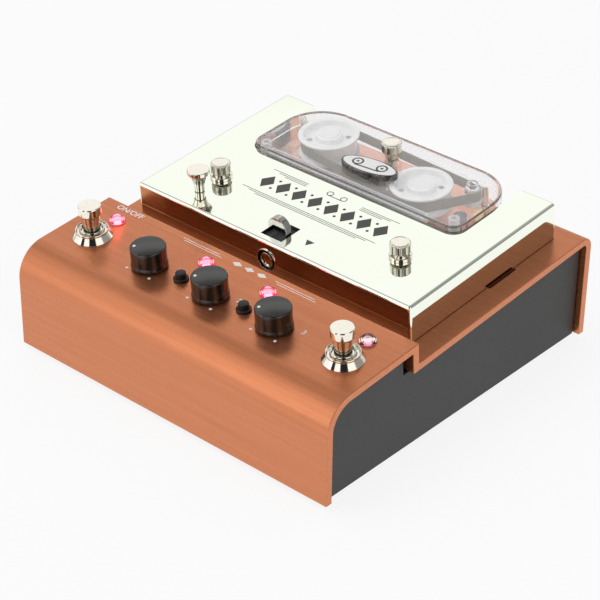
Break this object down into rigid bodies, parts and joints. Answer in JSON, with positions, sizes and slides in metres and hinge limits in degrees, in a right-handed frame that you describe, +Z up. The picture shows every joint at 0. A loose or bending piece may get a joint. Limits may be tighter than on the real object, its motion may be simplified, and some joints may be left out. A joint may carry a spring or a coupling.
{
  "type": "tape echo effects unit",
  "caption": "Desktop tape echo with a sloping control panel of knobs and press switches, a mirrored deck lid and a clear lift-out cassette of looped tape.",
  "frame": {"origin": "centre of the footprint (rear jack nuts included) on the surface the rubber feet stand on", "axes": "+X to the player's right, +Y to the rear with the jacks, +Z up"},
  "size_m": [0.23, 0.229, 0.1021],
  "materials": {
    "copper_anodised": "brushed, copper-anodised",
    "dark_paint": "fine texture powder coat",
    "rubber": "matt",
    "black_steel": "blackened",
    "steel": "plain",
    "board_green": "printed circuit board",
    "nickel": "polished nickel plate",
    "polished_nickel": "mirror polished",
    "blue_plastic": "moulded",
    "black_plastic": "satin",
    "clear_plastic": "clear moulded",
    "led_red": "lit diode",
    "brass": "turned",
    "head_metal": "lapped",
    "badge_enamel": "white enamel in a dark chrome rim",
    "tape_film": "coated tape",
    "white_plastic": "moulded"
  },
  "bodies": {
    "case": {"top_shell": "copper_anodised", "inner_tray": "dark_paint", "rubber_feet": "rubber", "base_screws": "black_steel", "tray_brackets": "steel", "control_board": "board_green", "pot_bodies": "steel", "panel_nuts": "nickel", "footswitch_bodies": "blue_plastic", "footswitch_dress_nuts": "nickel", "button_bodies": "black_plastic", "indicator_lenses": "clear_plastic", "indicator_leds": "led_red", "led_spacers": "black_plastic", "main_board": "board_green", "board_standoffs": "brass", "board_components": "black_plastic", "riser_board": "board_green", "jack_bodies": "black_plastic", "power_socket": "black_plastic", "lid_posts": "steel", "cassette_post": "steel", "cassette_rests": "rubber", "head_bridge": "steel", "erase_head": "head_metal", "record_head": "head_metal", "playback_head": "head_metal", "motor_bracket": "steel", "motor": "steel", "drive_belt": "rubber", "capstan_bearing": "brass"},
    "lid": {"deck_lid": "polished_nickel", "thumbscrew_ferrules": "nickel", "catch_barrel": "nickel", "release_bushing": "brass", "lock_guides": "steel"},
    "release_knob": {"release_knob": "nickel"},
    "lock_slider": {"lock_slider": "nickel"},
    "thumbscrew_left": {"thumbscrew_left": "nickel"},
    "thumbscrew_right": {"thumbscrew_right": "nickel"},
    "cassette": {"cassette_base": "clear_plastic", "cassette_cover": "clear_plastic", "badge": "badge_enamel", "tape_loop": "tape_film"},
    "thumbscrew_centre": {"thumbscrew_centre": "nickel"},
    "reel_left": {"reel_left": "white_plastic"},
    "reel_right": {"reel_right": "white_plastic"},
    "guide_roller": {"guide_roller": "white_plastic"},
    "capstan_drive": {"flywheel": "steel", "capstan": "steel"},
    "motor_pulley": {"motor_pulley": "brass"},
    "footswitch_left": {"footswitch_plunger_left": "nickel"},
    "footswitch_right": {"footswitch_plunger_right": "nickel"},
    "knob_left": {"knob_left": "black_plastic"},
    "knob_middle": {"knob_middle": "black_plastic"},
    "knob_right": {"knob_right": "black_plastic"},
    "button_left": {"button_left": "black_plastic"},
    "button_right": {"button_right": "black_plastic"}
  },
  "joints": [
    {"name": "lid_lift", "type": "slide", "parent": "case", "child": "lid", "axis": [0, -0.0807, 0.9967], "range_m": [0, 0.042]},
    {"name": "cassette_lift", "type": "slide", "parent": "case", "child": "cassette", "axis": [0, -0.0807, 0.9967], "range_m": [0, 0.042]},
    {"name": "release_pull", "type": "slide", "parent": "lid", "child": "release_knob", "axis": [0, -0.0807, 0.9967], "range_m": [0, 0.006], "stiffness_N_per_m": 300, "springref_m": -0.002},
    {"name": "lock_slide", "type": "slide", "parent": "lid", "child": "lock_slider", "axis": [0, -0.9967, -0.0807], "range_m": [0, 0.0033]},
    {"name": "thumbscrew_turn_left", "type": "hinge", "parent": "lid", "child": "thumbscrew_left", "pos_m": [-0.0665, 0.00003, 0.08288], "axis": [0, -0.0807, 0.9967], "continuous": true},
    {"name": "thumbscrew_turn_right", "type": "hinge", "parent": "lid", "child": "thumbscrew_right", "pos_m": [0.0665, 0.00003, 0.08288], "axis": [0, -0.0807, 0.9967], "continuous": true},
    {"name": "thumbscrew_turn_centre", "type": "hinge", "parent": "cassette", "child": "thumbscrew_centre", "pos_m": [0, 0.07254, 0.09176], "axis": [0, -0.0807, 0.9967], "continuous": true},
    {"name": "reel_spin_left", "type": "hinge", "parent": "cassette", "child": "reel_left", "pos_m": [-0.0479, 0.07285, 0.08245], "axis": [0, -0.0807, 0.9967], "continuous": true},
    {"name": "reel_spin_right", "type": "hinge", "parent": "cassette", "child": "reel_right", "pos_m": [0.03, 0.06308, 0.08166], "axis": [0, -0.0807, 0.9967], "continuous": true},
    {"name": "roller_spin", "type": "hinge", "parent": "cassette", "child": "guide_roller", "pos_m": [0.0536, 0.07987, 0.08302], "axis": [0, -0.0807, 0.9967], "continuous": true},
    {"name": "capstan_spin", "type": "hinge", "parent": "case", "child": "capstan_drive", "pos_m": [0.05952, 0.08567, 0.06643], "axis": [0, -0.0807, 0.9967], "continuous": true},
    {"name": "motor_spin", "type": "hinge", "parent": "case", "child": "motor_pulley", "pos_m": [0.01, 0.05706, 0.04756], "axis": [0, -0.0807, 0.9967], "continuous": true},
    {"name": "footswitch_press_left", "type": "slide", "parent": "case", "child": "footswitch_left", "axis": [0, 0.0807, -0.9967], "range_m": [0, 0.003], "stiffness_N_per_m": 900, "springref_m": -0.001},
    {"name": "button_press_left", "type": "slide", "parent": "case", "child": "button_left", "axis": [0, 0.0807, -0.9967], "range_m": [0, 0.0015], "stiffness_N_per_m": 400, "springref_m": -0.0005},
    {"name": "footswitch_press_right", "type": "slide", "parent": "case", "child": "footswitch_right", "axis": [0, 0.0807, -0.9967], "range_m": [0, 0.003], "stiffness_N_per_m": 900, "springref_m": -0.001},
    {"name": "button_press_right", "type": "slide", "parent": "case", "child": "button_right", "axis": [0, 0.0807, -0.9967], "range_m": [0, 0.0015], "stiffness_N_per_m": 400, "springref_m": -0.0005},
    {"name": "knob_turn_left", "type": "hinge", "parent": "case", "child": "knob_left", "pos_m": [-0.0463, -0.07858, 0.06618], "axis": [0, 0.0807, -0.9967], "range_deg": [0, 270]},
    {"name": "knob_turn_middle", "type": "hinge", "parent": "case", "child": "knob_middle", "pos_m": [0, -0.07858, 0.06618], "axis": [0, 0.0807, -0.9967], "range_deg": [0, 270]},
    {"name": "knob_turn_right", "type": "hinge", "parent": "case", "child": "knob_right", "pos_m": [0.0463, -0.07858, 0.06618], "axis": [0, 0.0807, -0.9967], "range_deg": [0, 270]}
  ],
  "couplings": [
    {"joint": "reel_spin_left", "follows": "capstan_spin", "ratio": -0.12048},
    {"joint": "reel_spin_right", "follows": "capstan_spin", "ratio": -0.12048},
    {"joint": "roller_spin", "follows": "capstan_spin", "ratio": -0.4},
    {"joint": "motor_spin", "follows": "capstan_spin", "ratio": 3.8125}
  ]
}
